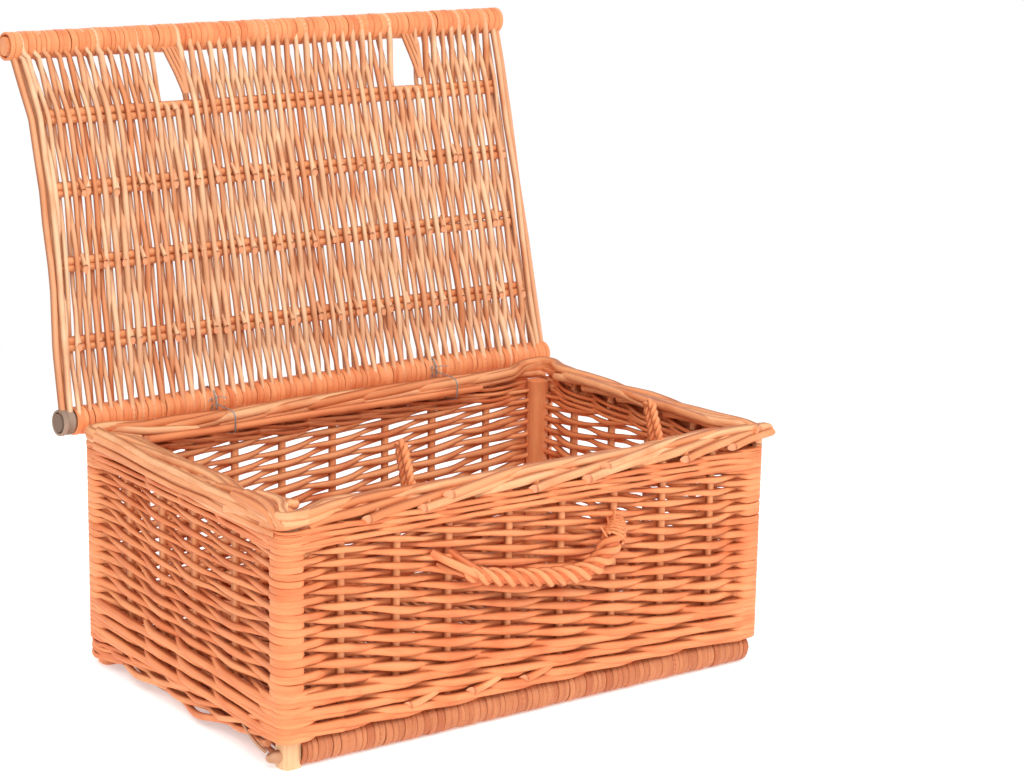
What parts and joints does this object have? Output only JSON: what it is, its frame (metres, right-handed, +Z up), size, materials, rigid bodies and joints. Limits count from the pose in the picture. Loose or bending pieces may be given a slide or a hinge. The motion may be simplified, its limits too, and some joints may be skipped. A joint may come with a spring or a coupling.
{
  "type": "pie basket",
  "caption": "Low rectangular woven willow basket with a hinged openwork lid, a rope handle in front and closing loops that pass through slots in the lid.",
  "frame": {"origin": "on the floor, under the middle of the whole with its lid open", "axes": "+X to the right seen from the front, +Y from the front wall to the back wall, +Z up"},
  "size_m": [0.427, 0.3802, 0.4406],
  "materials": {
    "willow": "satin, boiled and stripped willow",
    "pale_willow": "satin",
    "inner_willow": "satin",
    "twisted_willow": "satin",
    "weathered_willow": "dull, weathered",
    "tie_wire": "dull galvanised"
  },
  "bodies": {
    "basket": {"post_front_left": "pale_willow", "post_front_right": "pale_willow", "post_back_left": "pale_willow", "post_back_right": "pale_willow", "stake_front_1": "pale_willow", "stake_front_2": "pale_willow", "stake_front_3": "pale_willow", "stake_front_4": "pale_willow", "stake_front_5": "pale_willow", "stake_front_6": "pale_willow", "stake_front_7": "pale_willow", "stake_front_8": "pale_willow", "stake_back_1": "pale_willow", "stake_back_2": "pale_willow", "stake_back_3": "pale_willow", "stake_back_4": "pale_willow", "stake_back_5": "pale_willow", "stake_back_6": "pale_willow", "stake_back_7": "pale_willow", "stake_back_8": "pale_willow", "stake_left_1": "pale_willow", "stake_left_2": "pale_willow", "stake_left_3": "pale_willow", "stake_left_4": "pale_willow", "stake_right_1": "pale_willow", "stake_right_2": "pale_willow", "stake_right_3": "pale_willow", "stake_right_4": "pale_willow", "weave_front": "inner_willow", "weave_back": "inner_willow", "weave_left": "inner_willow", "weave_right": "inner_willow", "wale_front": "willow", "wale_back": "willow", "wale_left": "willow", "wale_right": "willow", "border_front": "willow", "border_back": "willow", "border_left": "willow", "border_right": "willow", "base_rail_front": "weathered_willow", "base_rail_back": "weathered_willow", "base_stick_1": "pale_willow", "base_stick_2": "pale_willow", "base_weave": "willow", "hinge_rod": "inner_willow", "hinge_wire_left": "tie_wire", "hinge_wire_right": "tie_wire"},
    "lid": {"lid_weave": "willow", "lid_back_stick": "pale_willow", "lid_front_stick": "pale_willow", "lid_stick_1": "pale_willow", "lid_stick_2": "pale_willow", "lid_stick_3": "pale_willow", "lid_stick_4": "pale_willow", "lid_wire_left": "tie_wire", "lid_wire_right": "tie_wire"},
    "handle": {"handle": "twisted_willow"},
    "closing_loop_left": {"closing_loop_left": "twisted_willow"},
    "closing_loop_right": {"closing_loop_right": "twisted_willow"}
  },
  "joints": [
    {"name": "lid_hinge", "type": "hinge", "parent": "basket", "child": "lid", "pos_m": [0, 0.09728, 0.1735], "axis": [1, 0, 0], "range_deg": [0, 105.3]},
    {"name": "handle_swing", "type": "hinge", "parent": "basket", "child": "handle", "pos_m": [0, -0.17142, 0.1324], "axis": [-1, 0, 0], "range_deg": [0, 75]},
    {"name": "loop_left_lean", "type": "hinge", "parent": "basket", "child": "closing_loop_left", "pos_m": [-0.09, -0.14972, 0.1665], "axis": [1, 0, 0], "range_deg": [-3, 12]},
    {"name": "loop_right_lean", "type": "hinge", "parent": "basket", "child": "closing_loop_right", "pos_m": [0.12, -0.14972, 0.1665], "axis": [1, 0, 0], "range_deg": [-3, 12]}
  ]
}
